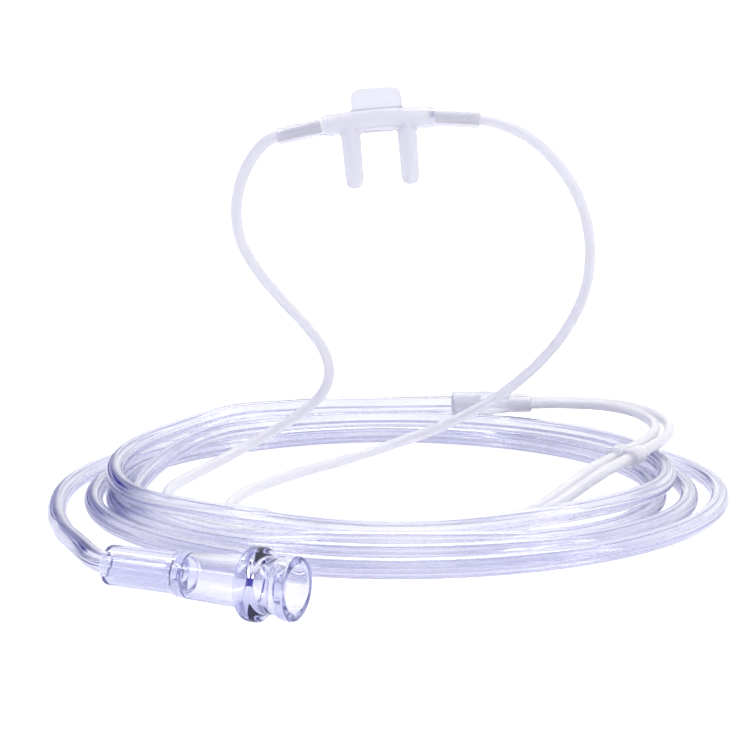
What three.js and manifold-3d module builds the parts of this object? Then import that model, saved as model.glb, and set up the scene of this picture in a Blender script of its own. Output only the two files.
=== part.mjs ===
// Nasal oxygen cannula: a soft face bar with two prongs, two thin over-ear tubes
// that run through a slide adjuster into a Y splitter, and a long supply tube that
// lies in a loose coil and ends in a funnel-shaped oxygen connector.
// Millimetres, +Z up, standing on z = 0.
//
// The pieces are placed in a lay frame whose middle is the middle of the coil, and
// the whole lay is then turned and shifted so that the connector lies along X.

import * as THREE from 'three';
import { mergeVertices } from 'three/addons/utils/BufferGeometryUtils.js';
import Module from 'manifold-3d';

const wasm = await Module();
wasm.setup();

// Fits
const GAP = 0.3; // free space kept between two pieces that touch on the real product
const TUBE_FIT = 0.3; // space all round a tube inside its socket
const SLIDE_FIT = 0.3; // space all round a thin tube inside the slide adjuster

// Tubes
const SUPPLY_OD = 4.8; // star-lumen supply tube
const SUPPLY_ID = 2.9; // its open core, and the passage of the sockets that hold it
const SUPPLY_SIDES = 10;
const LARIAT_OD = 3.0; // thin over-ear tube
const LARIAT_ID = 1.8;
const LARIAT_SIDES = 8;
const LARIAT_STEPS = 44;

// Coil of the supply tube
const COIL_INNER_R = 61.6;
const COIL_OUTER_R = 88.4;
const COIL_HEIGHT = 9.0; // two nested layers of tube
const COIL_EDGE = 2.4; // rounding of the coil's four edges
const COIL_SEGMENTS = 60;

// Nasal piece, in its own frame: bar along x, prongs down
const BAR_LENGTH = 50.8; // socket mouth to socket mouth
const BAR_OD = 5.6;
const BAR_ID = 3.4;
const BAR_DROP = 2.2; // how far the bar's ends arch down
const BAR_SWEEP = 2.5; // how far they sweep back to the face
const SOCKET_WALL = 0.5;
const SOCKET_DEPTH = 11.5;
const SOCKET_STEP = 1.2; // length of the cone between socket and bar
const PRONG_PITCH = 14.2;
const PRONG_ROOT_OD = 5.2;
const PRONG_TIP_OD = 4.5;
const PRONG_ID = 3.0;
const PRONG_LENGTH = 16.4; // from the bar's axis to the tip
const PRONG_CURVE = 2.6; // how far the tip bends back
const PRONG_TIP_ROUND = 0.6;
const TAB_WIDTH = 12.8;
const TAB_HEIGHT = 8.0; // from the bar's axis to the tab's edge
const TAB_THICK = 1.3;
const TAB_ROUND = 2.4;

// Oxygen connector, along its own axis from the tube end
const CONNECTOR_LENGTH = 45;
const BARREL_OD = 8.7;
const BARREL_LENGTH = 17;
const TUBE_SEAT = 17.4; // depth of the tube's seat
const BODY_START_OD = 9.8;
const BODY_END_OD = 10.7;
const BORE_START_ID = 8.1; // funnel bore behind the tube's seat
const BORE_MOUTH_ID = 9.84;
const FLANGE_OD = 15.5;
const FLANGE_AT = 33.8;
const FLANGE_THICK = 3.6;
const WAIST_OD = 11.6;
const MOUTH_OD = 13.4;
const MOUTH_LENGTH = 3.4;
const CONNECTOR_EDGE = 0.5;
const CONNECTOR_SEGMENTS = 40;

// Y splitter, along its own axis from the thin tubes to the supply tube
const SPLITTER_LENGTH = 22.8;
const SPLITTER_PITCH = 4.4;
const THIN_SOCKET_WALL = 0.6;
const THIN_SOCKET_DEPTH = 6.5;
const SUPPLY_SOCKET_WALL = 0.8;
const SUPPLY_SOCKET_DEPTH = 8;
const SPLITTER_WEB = 3.4; // thickness of the flat web between its sockets

// Slide adjuster
const SLIDER_LENGTH = 8;
const SLIDER_WALL = 0.7;
const SLIDER_PITCH = 3.9;

// Lay frame to part frame
const LAY_TURN = THREE.MathUtils.degToRad(26);
const COIL_X = -17.44; // the coil's middle, from the origin under the rigid pieces
const COIL_Y = 20.08;

// Where the pieces lie, in the lay frame
const NASAL_AT = new THREE.Vector3(-2.5, 0, 97.15);
const NASAL_ROLL = THREE.MathUtils.degToRad(4.8);
const CONNECTOR_AT = new THREE.Vector3(-58.5, -101.5, FLANGE_OD / 2);
const SPLITTER_AT = new THREE.Vector3(41.6, 69.3, 12.7);
const SPLITTER_HEADING = THREE.MathUtils.degToRad(185);
const SLIDER_AT = new THREE.Vector3(61, -5.8, 12);
const SLIDER_HEADING = THREE.MathUtils.degToRad(64);
const PAIR_STOPS = [-20, -12, -4, 4, 10, 16]; // straight stretch of both thin tubes

// Free routes, chosen by hand, in the lay frame
const LEFT_LARIAT_OUT = [
  [-33.3, 4.5, 89], [-37.1, 8, 82.7], [-39.4, 13, 73.8], [-38.8, 20, 64.8], [-34.8, 28, 55.7],
  [-29.1, 36, 47.2], [-22.5, 43, 38.8], [-17.7, 48, 31.1], [-16.2, 51, 24.1], [-18.5, 52, 17.9],
  [-24.7, 51, 12.6], [-33.6, 48, 7.4], [-44, 39, 2.8], [-51.5, 21, 1.7], [-56.3, 3, 1.7],
  [-55, -16, 1.7], [-46.5, -34, 1.7], [-32, -48, 1.7], [-14, -56, 1.7], [5, -57.5, 1.9],
  [23, -54, 3.2], [37.5, -45.5, 6.6], [47.5, -34, 10.2],
];
const RIGHT_LARIAT_OUT = [
  [29, 4, 95.9], [36.4, 7, 92.2], [43.3, 12, 86.1], [49.2, 19, 78.1], [53.1, 26, 69.1],
  [54.8, 33, 59.3], [54, 40, 48.1], [50, 46, 37.6], [43.2, 50, 28], [32.8, 53, 18.3],
  [18.4, 54, 9.8], [2.5, 50, 4.3], [-13, 36.5, 1.9], [-27.5, 16, 1.7], [-37.5, -6, 1.7],
  [-39, -25, 1.7], [-30, -41, 1.7], [-14, -51, 1.7], [5, -53, 1.9], [21, -49.5, 3.1],
  [34.5, -41.5, 5.6], [44, -31.5, 9.4],
];
const PAIR_BACK = [ // middle line of both thin tubes, from the slide adjuster to the splitter
  [72.2, 18.5, 12.2], [75, 30, 12.6], [74.2, 42, 13.1], [70, 53, 13.5], [62.5, 61.5, 13.5],
  [52.5, 67, 13.1],
];
const SUPPLY_LEAD = [[3, 66.8, 12.5], [-8, 68.2, 12.1], [-19, 69.5, 11.8]];
const SUPPLY_TAIL = [
  [-76.6, -49.4, 3.5], [-74.3, -59.5, 4.5], [-71.4, -69.5, 5.6], [-68.6, -79, 6.7],
  [-66.2, -87, 7.5], [-63.8, -93.8, 7.9], [-61.5, -98.6, 7.85],
];

// Solids and booleans

function toSolid(geometry) {
  const bare = geometry.clone();
  bare.deleteAttribute('normal');
  bare.deleteAttribute('uv');
  const merged = mergeVertices(bare, 1e-4);
  return new wasm.Manifold(new wasm.Mesh({
    numProp: 3,
    vertProperties: new Float32Array(merged.attributes.position.array),
    triVerts: new Uint32Array(merged.index.array),
  }));
}

function toGeometry(solid) {
  const mesh = solid.getMesh();
  const geometry = new THREE.BufferGeometry();
  const points = new Float32Array(mesh.numVert * 3);
  for (let i = 0; i < mesh.numVert; i++) {
    for (let axis = 0; axis < 3; axis++) {
      points[i * 3 + axis] = mesh.vertProperties[i * mesh.numProp + axis];
    }
  }
  geometry.setAttribute('position', new THREE.BufferAttribute(points, 3));
  geometry.setIndex(new THREE.BufferAttribute(new Uint32Array(mesh.triVerts), 1));
  geometry.computeVertexNormals();
  return geometry;
}

function joinAndCut(outsides, insides) {
  let solid = outsides.map(toSolid).reduce((whole, next) => whole.add(next));
  for (const inside of insides) {
    solid = solid.subtract(toSolid(inside));
  }
  return toGeometry(solid);
}

// A turned rod along +x, from pairs of [place along x, radius]
function rod(stations, segments) {
  const first = stations[0];
  const last = stations[stations.length - 1];
  const profile = [[first[0], 0], ...stations, [last[0], 0]];
  const points = profile.map(([along, radius]) => new THREE.Vector2(radius, along));
  return new THREE.LatheGeometry(points, segments).rotateZ(-Math.PI / 2);
}

function tube(points, diameter, sides, steps) {
  const section = new THREE.Shape();
  for (let i = 0; i < sides; i++) {
    const angle = (i / sides) * 2 * Math.PI;
    const x = (diameter / 2) * Math.cos(angle);
    const y = (diameter / 2) * Math.sin(angle);
    if (i === 0) {
      section.moveTo(x, y);
    } else {
      section.lineTo(x, y);
    }
  }
  section.closePath();
  const extrudePath = new THREE.CatmullRomCurve3(points, false, 'centripetal');
  return new THREE.ExtrudeGeometry(section, { extrudePath, steps, bevelEnabled: false });
}

function piece(name, geometry, colour, roughness) {
  const material = new THREE.MeshStandardMaterial({ color: colour, roughness, metalness: 0 });
  const mesh = new THREE.Mesh(geometry, material);
  mesh.name = name;
  return mesh;
}

// Nasal piece

const SOCKET_OD = LARIAT_OD + 2 * (TUBE_FIT + SOCKET_WALL);
const SOCKET_ID = LARIAT_OD + 2 * TUBE_FIT;

function barRise(x) {
  const share = x / (BAR_LENGTH / 2);
  return new THREE.Vector3(0, BAR_SWEEP * share * share, -BAR_DROP * share * share);
}

function bendBar(geometry) {
  const place = geometry.attributes.position;
  for (let i = 0; i < place.count; i++) {
    const shift = barRise(place.getX(i));
    place.setY(i, place.getY(i) + shift.y);
    place.setZ(i, place.getZ(i) + shift.z);
  }
  return geometry;
}

// A straight rod is cut into short lengths first, so that it can bend
function barRod(stations, segments) {
  const fine = [stations[0]];
  for (let i = 1; i < stations.length; i++) {
    const [fromX, fromR] = stations[i - 1];
    const [toX, toR] = stations[i];
    const cuts = Math.max(1, Math.ceil(Math.abs(toX - fromX) / 5));
    for (let k = 1; k <= cuts; k++) {
      const share = k / cuts;
      fine.push([fromX + (toX - fromX) * share, fromR + (toR - fromR) * share]);
    }
  }
  return bendBar(rod(fine, segments));
}

function prong(x, stations, segments) {
  const geometry = rod(stations, segments).rotateY(Math.PI / 2);
  const place = geometry.attributes.position;
  const root = barRise(x);
  for (let i = 0; i < place.count; i++) {
    const share = place.getZ(i) / PRONG_LENGTH;
    place.setX(i, place.getX(i) + x);
    place.setY(i, place.getY(i) + root.y + PRONG_CURVE * share * share);
    place.setZ(i, place.getZ(i) + root.z);
  }
  return geometry;
}

function nasalPiece() {
  const half = BAR_LENGTH / 2;
  const socketEnd = half - SOCKET_DEPTH;
  const barEnd = socketEnd - SOCKET_STEP;
  const outer = [
    [-half, SOCKET_OD / 2], [-socketEnd, SOCKET_OD / 2], [-barEnd, BAR_OD / 2],
    [barEnd, BAR_OD / 2], [socketEnd, SOCKET_OD / 2], [half, SOCKET_OD / 2],
  ];
  const past = half + 1;
  const tip = PRONG_LENGTH;
  const prongOuter = [];
  const prongSlices = 5;
  for (let i = 0; i <= prongSlices; i++) {
    const share = i / prongSlices;
    const reach = (tip - PRONG_TIP_ROUND) * share;
    prongOuter.push([reach, (PRONG_ROOT_OD + (PRONG_TIP_OD - PRONG_ROOT_OD) * share) / 2]);
  }
  prongOuter.push([tip, PRONG_TIP_OD / 2 - PRONG_TIP_ROUND]);
  const prongBore = [];
  for (let i = 0; i <= prongSlices; i++) {
    prongBore.push([((tip + 1) * i) / prongSlices, PRONG_ID / 2]);
  }

  const tabShape = new THREE.Shape();
  const side = TAB_WIDTH / 2;
  tabShape.moveTo(-side, 0);
  tabShape.lineTo(side, 0);
  tabShape.lineTo(side, TAB_HEIGHT - TAB_ROUND);
  tabShape.absarc(side - TAB_ROUND, TAB_HEIGHT - TAB_ROUND, TAB_ROUND, 0, Math.PI / 2);
  tabShape.lineTo(-side + TAB_ROUND, TAB_HEIGHT);
  tabShape.absarc(-side + TAB_ROUND, TAB_HEIGHT - TAB_ROUND, TAB_ROUND, Math.PI / 2, Math.PI);
  tabShape.closePath();
  const tab = new THREE.ExtrudeGeometry(tabShape, {
    depth: TAB_THICK, bevelEnabled: false, curveSegments: 5,
  });
  tab.translate(0, 0, -TAB_THICK / 2).rotateX(Math.PI / 2);

  const places = [-PRONG_PITCH / 2, PRONG_PITCH / 2];
  const outsides = [
    barRod(outer, 24),
    tab,
    ...places.map((x) => prong(x, prongOuter, 20)),
  ];
  const insides = [
    barRod([[-past, BAR_ID / 2], [past, BAR_ID / 2]], 16),
    barRod([[-past, SOCKET_ID / 2], [-socketEnd, SOCKET_ID / 2]], 16),
    barRod([[socketEnd, SOCKET_ID / 2], [past, SOCKET_ID / 2]], 16),
    ...places.map((x) => prong(x, prongBore, 16)),
  ];
  return joinAndCut(outsides, insides);
}

// A point beyond a socket's mouth, on the socket's own line
function nasalMouth(side, beyond) {
  const half = BAR_LENGTH / 2;
  const along = new THREE.Vector3(half, 2 * BAR_SWEEP, -2 * BAR_DROP).normalize();
  const point = new THREE.Vector3(half, 0, 0).add(barRise(half)).addScaledVector(along, beyond);
  point.x *= side;
  return point.applyAxisAngle(new THREE.Vector3(0, -1, 0), NASAL_ROLL).add(NASAL_AT);
}

// Oxygen connector

function connector() {
  const mouth = CONNECTOR_LENGTH;
  const flangeEnd = FLANGE_AT + FLANGE_THICK;
  const tubeBore = SUPPLY_OD / 2 + TUBE_FIT;
  const edge = CONNECTOR_EDGE;
  const profile = [
    [0, tubeBore],
    [0, BARREL_OD / 2 - edge],
    [edge, BARREL_OD / 2],
    [BARREL_LENGTH, BARREL_OD / 2],
    [BARREL_LENGTH + 2 * edge, BODY_START_OD / 2],
    [FLANGE_AT, BODY_END_OD / 2],
    [FLANGE_AT, FLANGE_OD / 2 - edge],
    [FLANGE_AT + edge, FLANGE_OD / 2],
    [flangeEnd - edge, FLANGE_OD / 2],
    [flangeEnd, FLANGE_OD / 2 - edge],
    [flangeEnd, WAIST_OD / 2],
    [mouth - MOUTH_LENGTH, WAIST_OD / 2],
    [mouth - MOUTH_LENGTH / 2, MOUTH_OD / 2],
    [mouth - edge, MOUTH_OD / 2],
    [mouth, MOUTH_OD / 2 - edge],
    [mouth, BORE_MOUTH_ID / 2],
    [TUBE_SEAT + 2.5, BORE_START_ID / 2],
    [TUBE_SEAT + 1, SUPPLY_ID / 2],
    [TUBE_SEAT, SUPPLY_ID / 2],
    [TUBE_SEAT, tubeBore],
    [0, tubeBore],
  ];
  const points = profile.map(([along, radius]) => new THREE.Vector2(radius, along));
  return new THREE.LatheGeometry(points, CONNECTOR_SEGMENTS).rotateZ(-Math.PI / 2);
}

function connectorEntry(beyond) {
  const along = new THREE.Vector3(-1, 0, 0).applyAxisAngle(new THREE.Vector3(0, 0, 1), -LAY_TURN);
  return CONNECTOR_AT.clone().addScaledVector(along, beyond);
}

// Y splitter

function splitter() {
  const thinOd = LARIAT_OD + 2 * (TUBE_FIT + THIN_SOCKET_WALL);
  const thinId = LARIAT_OD + 2 * TUBE_FIT;
  const supplyOd = SUPPLY_OD + 2 * (TUBE_FIT + SUPPLY_SOCKET_WALL);
  const supplyId = SUPPLY_OD + 2 * TUBE_FIT;
  const supplyFrom = SPLITTER_LENGTH - SUPPLY_SOCKET_DEPTH - 1;
  const half = SPLITTER_PITCH / 2;

  const web = new THREE.Shape();
  web.moveTo(1, -half - thinOd / 2 + 0.6);
  web.lineTo(THIN_SOCKET_DEPTH, -half - thinOd / 2 + 0.3);
  web.lineTo(supplyFrom + 1, -supplyOd / 2 + 0.1);
  web.lineTo(supplyFrom + 1, supplyOd / 2 - 0.1);
  web.lineTo(THIN_SOCKET_DEPTH, half + thinOd / 2 - 0.3);
  web.lineTo(1, half + thinOd / 2 - 0.6);
  web.closePath();
  const webSolid = new THREE.ExtrudeGeometry(web, { depth: SPLITTER_WEB, bevelEnabled: false });
  webSolid.translate(0, 0, -SPLITTER_WEB / 2);

  const thin = (side, stations, segments) => rod(stations, segments).translate(0, side * half, 0);
  const sides = [-1, 1];
  const thinEnd = THIN_SOCKET_DEPTH + 1;
  const outsides = [
    webSolid,
    rod([[supplyFrom - 2, SPLITTER_WEB / 2], [supplyFrom, supplyOd / 2], [SPLITTER_LENGTH, supplyOd / 2]], 24),
    ...sides.map((side) => thin(side, [[0, thinOd / 2], [thinEnd, thinOd / 2]], 20)),
  ];
  const insides = [
    rod([[SPLITTER_LENGTH - SUPPLY_SOCKET_DEPTH, supplyId / 2], [SPLITTER_LENGTH + 1, supplyId / 2]], 20),
    ...sides.map((side) => thin(side, [[-1, thinId / 2], [THIN_SOCKET_DEPTH, thinId / 2]], 16)),
    ...sides.map((side) => {
      const passage = rod([[0, LARIAT_ID / 2], [SPLITTER_LENGTH - SUPPLY_SOCKET_DEPTH, LARIAT_ID / 2]], 12);
      const lean = Math.atan2(half, SPLITTER_LENGTH - SUPPLY_SOCKET_DEPTH);
      return passage.translate(THIN_SOCKET_DEPTH - 1, 0, 0).rotateZ(-side * lean * 0.6)
        .translate(0, side * half, 0);
    }),
  ];
  return joinAndCut(outsides, insides);
}

function onSplitter(along, across) {
  const point = new THREE.Vector3(along, across, 0);
  return point.applyAxisAngle(new THREE.Vector3(0, 0, 1), SPLITTER_HEADING).add(SPLITTER_AT);
}

// Slide adjuster

function slider() {
  const bore = LARIAT_OD / 2 + SLIDE_FIT;
  const outer = bore + SLIDER_WALL;
  const half = SLIDER_PITCH / 2;
  const outline = new THREE.Shape();
  outline.absarc(half, 0, outer, -Math.PI / 2, Math.PI / 2);
  outline.absarc(-half, 0, outer, Math.PI / 2, Math.PI * 1.5);
  outline.closePath();
  for (const middle of [-half, half]) {
    const hole = new THREE.Path();
    hole.absarc(middle, 0, bore, 0, 2 * Math.PI);
    outline.holes.push(hole);
  }
  const body = new THREE.ExtrudeGeometry(outline, {
    depth: SLIDER_LENGTH, bevelEnabled: false, curveSegments: 12,
  });
  return body.translate(0, 0, -SLIDER_LENGTH / 2).rotateZ(Math.PI / 2).rotateY(Math.PI / 2);
}

function onPair(along, across) {
  const point = new THREE.Vector3(along, across, 0);
  return point.applyAxisAngle(new THREE.Vector3(0, 0, 1), SLIDER_HEADING).add(SLIDER_AT);
}

// Tubes

function asPoints(rows) {
  return rows.map(([x, y, z]) => new THREE.Vector3(x, y, z));
}

// The two thin tubes keep to their own side of the middle line
function besideLine(rows, across) {
  const line = asPoints(rows);
  return line.map((point, i) => {
    const before = line[Math.max(i - 1, 0)];
    const after = line[Math.min(i + 1, line.length - 1)];
    const heading = after.clone().sub(before);
    const aside = new THREE.Vector3(-heading.y, heading.x, 0).normalize();
    return point.clone().addScaledVector(aside, across);
  });
}

function lariatPoints(side, out) {
  const across = (-side * SLIDER_PITCH) / 2;
  const atSplitter = (side * SPLITTER_PITCH) / 2;
  return [
    nasalMouth(-side, GAP),
    nasalMouth(-side, GAP + 2.5),
    ...asPoints(out),
    ...PAIR_STOPS.map((along) => onPair(along, across)),
    ...besideLine(PAIR_BACK, across),
    onSplitter(-GAP - 3, -atSplitter),
    onSplitter(-GAP, -atSplitter),
  ];
}

function coilRing() {
  const edge = COIL_EDGE;
  const section = new THREE.Shape();
  section.moveTo(COIL_INNER_R + edge, 0);
  section.lineTo(COIL_OUTER_R - edge, 0);
  section.absarc(COIL_OUTER_R - edge, edge, edge, -Math.PI / 2, 0);
  section.absarc(COIL_OUTER_R - edge, COIL_HEIGHT - edge, edge, 0, Math.PI / 2);
  section.absarc(COIL_INNER_R + edge, COIL_HEIGHT - edge, edge, Math.PI / 2, Math.PI);
  section.absarc(COIL_INNER_R + edge, edge, edge, Math.PI, Math.PI * 1.5);
  const corners = section.getPoints(3);
  corners.push(corners[0].clone());
  return new THREE.LatheGeometry(corners, COIL_SEGMENTS).rotateX(Math.PI / 2);
}

// The whole part

const CLEAR_VINYL = '#e4e4f2';
const SOFT_VINYL = '#e9e8f4';
const SUPPLY_VINYL = '#cfcfee';

const lay = new THREE.Group();
lay.rotation.z = LAY_TURN;
lay.position.set(COIL_X, COIL_Y, 0);

const nasal = piece('nasal_piece', nasalPiece(), SOFT_VINYL, 0.35);
nasal.position.copy(NASAL_AT);
nasal.rotation.y = -NASAL_ROLL;

const oxygenConnector = piece('oxygen_connector', connector(), CLEAR_VINYL, 0.12);
oxygenConnector.position.copy(CONNECTOR_AT);
oxygenConnector.rotation.z = -LAY_TURN;

const ySplitter = piece('y_splitter', splitter(), CLEAR_VINYL, 0.2);
ySplitter.position.copy(SPLITTER_AT);
ySplitter.rotation.z = SPLITTER_HEADING;

const slideAdjuster = piece('slide_adjuster', slider(), SOFT_VINYL, 0.3);
slideAdjuster.position.copy(SLIDER_AT);
slideAdjuster.rotation.z = SLIDER_HEADING;

const leftLariat = tube(lariatPoints(1, LEFT_LARIAT_OUT), LARIAT_OD, LARIAT_SIDES, LARIAT_STEPS);
const rightLariat = tube(lariatPoints(-1, RIGHT_LARIAT_OUT), LARIAT_OD, LARIAT_SIDES, LARIAT_STEPS);
const lead = tube(
  [
    onSplitter(SPLITTER_LENGTH + GAP, 0),
    onSplitter(SPLITTER_LENGTH + GAP + 5, 0),
    ...asPoints(SUPPLY_LEAD),
  ],
  SUPPLY_OD, SUPPLY_SIDES, 4,
);
const tail = tube(
  [...asPoints(SUPPLY_TAIL), connectorEntry(GAP)],
  SUPPLY_OD, SUPPLY_SIDES, 12,
);

lay.add(
  nasal,
  piece('lariat_tube_left', leftLariat, SOFT_VINYL, 0.35),
  piece('lariat_tube_right', rightLariat, SOFT_VINYL, 0.35),
  slideAdjuster,
  ySplitter,
  piece('supply_tube_lead', lead, SUPPLY_VINYL, 0.15),
  piece('supply_tube_coil', coilRing(), SUPPLY_VINYL, 0.15),
  piece('supply_tube_tail', tail, SUPPLY_VINYL, 0.15),
  oxygenConnector,
);

const part = new THREE.Group();
part.add(lay);

export default part;
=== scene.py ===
"""Nasal oxygen cannula, dressed in its vinyl finishes and set in a white studio.

Everything is worked out in millimetres in the lay frame, whose middle is the middle of
the coil and whose -Y side faces the camera, and is then turned and shifted into the
part's own frame, in metres.
"""

import math

import bpy
import numpy as np
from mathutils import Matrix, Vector


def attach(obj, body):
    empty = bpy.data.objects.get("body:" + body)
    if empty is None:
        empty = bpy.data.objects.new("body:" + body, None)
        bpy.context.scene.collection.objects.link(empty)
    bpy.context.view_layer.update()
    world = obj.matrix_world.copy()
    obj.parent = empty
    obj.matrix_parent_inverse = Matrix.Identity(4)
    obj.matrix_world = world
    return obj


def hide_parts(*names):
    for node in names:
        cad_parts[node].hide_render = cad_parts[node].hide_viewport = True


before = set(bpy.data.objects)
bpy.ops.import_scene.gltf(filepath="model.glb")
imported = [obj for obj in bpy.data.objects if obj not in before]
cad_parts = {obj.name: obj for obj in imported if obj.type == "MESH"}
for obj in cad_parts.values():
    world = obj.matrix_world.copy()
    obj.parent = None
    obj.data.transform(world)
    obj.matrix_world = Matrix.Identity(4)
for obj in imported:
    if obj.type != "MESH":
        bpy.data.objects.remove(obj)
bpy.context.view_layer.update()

# The lay frame

MM = 0.001
# Pattern cells to the millimetre, for coordinates in metres
PER_MM = 1000.0
LAY_TURN = math.radians(26.0)
COIL_MIDDLE = np.array([-17.44, 20.08, 0.0])
BODY = "tubes"


def turned_about_z(points, angle):
    """The points turned about Z by the angle, counter-clockwise from above."""
    points = np.asarray(points, float)
    cos, sin = math.cos(angle), math.sin(angle)
    return points @ np.array([[cos, sin, 0.0], [-sin, cos, 0.0], [0.0, 0.0, 1.0]])


def placed(points):
    """Lay frame in millimetres to the part's frame in metres: a turn, then a shift."""
    return (turned_about_z(points, LAY_TURN) + COIL_MIDDLE) * MM


# Camera

CAMERA_AT = [0.0, -525.2, 116.4]
CAMERA_SIDE = math.radians(0.346)
CAMERA_DIP = math.radians(-9.18)
FOCAL_PX = 2070.0
IMAGE_WIDTH_PX = 750.0


def make_camera():
    """A long lens, a little above the coil, looking slightly down as in the photograph."""
    data = bpy.data.cameras.new("camera")
    data.sensor_fit = "HORIZONTAL"
    data.sensor_width = 36.0
    data.lens = FOCAL_PX * data.sensor_width / IMAGE_WIDTH_PX
    data.clip_start, data.clip_end = 0.05, 50.0
    camera = bpy.data.objects.new("camera", data)
    bpy.context.scene.collection.objects.link(camera)
    camera.location = placed([CAMERA_AT])[0]
    camera.rotation_euler = (math.pi / 2 + CAMERA_DIP, 0.0, LAY_TURN + CAMERA_SIDE)
    bpy.context.scene.camera = camera
    return camera


make_camera()

# Real sizes, in mm

SUPPLY_OD = 4.8
SUPPLY_BORE = 2.9
BORE_RIBS = 6
BORE_RIB_HEIGHT = 0.16
LARIAT_OD = 3.0
LARIAT_BORE = 1.8
CUT_END_LIP = 0.12

BAR_LENGTH = 50.8
BAR_DROP = 2.2
BAR_SWEEP = 2.5
SOCKET_DEPTH = 11.5
NASAL_AT = np.array([-2.5, 0.0, 97.15])
NASAL_ROLL = math.radians(4.8)

CONNECTOR_LENGTH = 45.0
TUBE_SEAT = 17.4
FLANGE_OD = 15.5
CONNECTOR_AT = np.array([-58.5, -101.5, FLANGE_OD / 2])

SPLITTER_LENGTH = 22.8
SPLITTER_PITCH = 4.4
THIN_SOCKET_DEPTH = 6.5
SUPPLY_SOCKET_DEPTH = 8.0
SPLITTER_AT = np.array([41.6, 69.3, 12.7])
SPLITTER_HEADING = math.radians(185.0)

SLIDER_LENGTH = 8.0
SLIDER_PITCH = 3.9
SLIDER_AT = np.array([61.0, -5.8, 12.0])
SLIDER_HEADING = math.radians(64.0)
PAIR_STOPS = [-20, -12, -4, 4, 10, 16]

LEFT_LARIAT_OUT = [
    [-33.3, 4.5, 89], [-37.1, 8, 82.7], [-39.4, 13, 73.8], [-38.8, 20, 64.8], [-34.8, 28, 55.7],
    [-29.1, 36, 47.2], [-22.5, 43, 38.8], [-17.7, 48, 31.1], [-16.2, 51, 24.1], [-18.5, 52, 17.9],
    [-24.7, 51, 12.6], [-33.6, 48, 7.4], [-44, 39, 2.8], [-51.5, 21, 1.7], [-56.3, 3, 1.7],
    [-55, -16, 1.7], [-46.5, -34, 1.7], [-32, -48, 1.7], [-14, -56, 1.7], [5, -57.5, 1.9],
    [23, -54, 3.2], [37.5, -45.5, 6.6], [47.5, -34, 10.2],
]
RIGHT_LARIAT_OUT = [
    [29, 4, 95.9], [36.4, 7, 92.2], [43.3, 12, 86.1], [49.2, 19, 78.1], [53.1, 26, 69.1],
    [54.8, 33, 59.3], [54, 40, 48.1], [50, 46, 37.6], [43.2, 50, 28], [32.8, 53, 18.3],
    [18.4, 54, 9.8], [2.5, 50, 4.3], [-13, 36.5, 1.9], [-27.5, 16, 1.7], [-37.5, -6, 1.7],
    [-39, -25, 1.7], [-30, -41, 1.7], [-14, -51, 1.7], [5, -53, 1.9], [21, -49.5, 3.1],
    [34.5, -41.5, 5.6], [44, -31.5, 9.4],
]
PAIR_BACK = [
    [72.2, 18.5, 12.2], [75, 30, 12.6], [74.2, 42, 13.1], [70, 53, 13.5], [62.5, 61.5, 13.5],
    [52.5, 67, 13.1],
]
SUPPLY_LEAD = [[3, 66.8, 12.5], [-8, 68.2, 12.1], [-19, 69.5, 11.8]]
SUPPLY_TAIL = [
    [-79.3, -39, 2.8], [-76.6, -49.4, 3.5], [-74.3, -59.5, 4.5], [-71.4, -69.5, 5.6],
    [-68.6, -79, 6.7], [-66.2, -87, 7.5], [-63.8, -93.8, 7.9], [-61.5, -98.6, 7.85],
]

# The coil, from the lead to the tail: degrees round the middle, radius, height
COIL_LAY = [
    (105, 72.0, 11.8), (127, 75.0, 10.2), (149, 74.4, 9.0), (170, 72.0, 8.0), (188, 70.2, 7.6),
    (270, 71.7, 7.9), (345, 72.0, 7.6), (375, 73.5, 7.2), (405, 76.0, 6.8), (450, 77.5, 6.6),
    (495, 72.0, 4.5), (540, 64.3, 2.45), (585, 70.0, 4.5), (630, 76.4, 6.8), (675, 72.5, 4.6),
    (720, 69.4, 2.45), (765, 72.0, 2.45), (810, 75.0, 2.45), (855, 72.0, 2.45), (900, 69.2, 2.45),
    (945, 75.0, 3.6), (990, 80.8, 4.8), (1035, 79.5, 3.6), (1080, 77.8, 2.45), (1125, 79.0, 2.45),
    (1170, 80.0, 2.45), (1215, 77.5, 2.45), (1260, 75.0, 2.45), (1305, 80.0, 2.45),
    (1350, 85.0, 2.45), (1395, 85.6, 2.6), (1440, 86.0, 2.9), (1485, 85.6, 2.6),
    (1530, 85.0, 2.45), (1575, 83.4, 2.45), (1600, 82.6, 2.45), (1615, 82.9, 2.45),
    (1630, 84.6, 2.45), (1640, 86.2, 2.5),
]

# Paths


def through(points, per_span=16):
    """A smooth line through the points: a centripetal Catmull-Rom curve, that is, for each
    span a cubic whose end slopes come from its neighbours, with the knots spaced by the
    square root of the distance between points."""
    points = np.asarray(points, float)
    first = 2 * points[0] - points[1]
    last = 2 * points[-1] - points[-2]
    whole = np.vstack([first, points, last])
    gaps = np.maximum(np.linalg.norm(np.diff(whole, axis=0), axis=1), 1e-6) ** 0.5
    p0, p1, p2, p3 = whole[:-3], whole[1:-2], whole[2:-1], whole[3:]
    g0, g1, g2 = (g[:, None] for g in (gaps[:-2], gaps[1:-1], gaps[2:]))
    leave = ((p1 - p0) / g0 - (p2 - p0) / (g0 + g1) + (p2 - p1) / g1) * g1
    arrive = ((p2 - p1) / g1 - (p3 - p1) / (g1 + g2) + (p3 - p2) / g2) * g1
    t = (np.arange(per_span) / per_span)[None, :, None]
    p1, p2, leave, arrive = (a[:, None, :] for a in (p1, p2, leave, arrive))
    cubic = (
        p1 + leave * t + (-3 * p1 + 3 * p2 - 2 * leave - arrive) * t**2
        + (2 * p1 - 2 * p2 + leave + arrive) * t**3
    )
    return np.vstack([cubic.reshape(-1, 3), points[-1:]])


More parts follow.
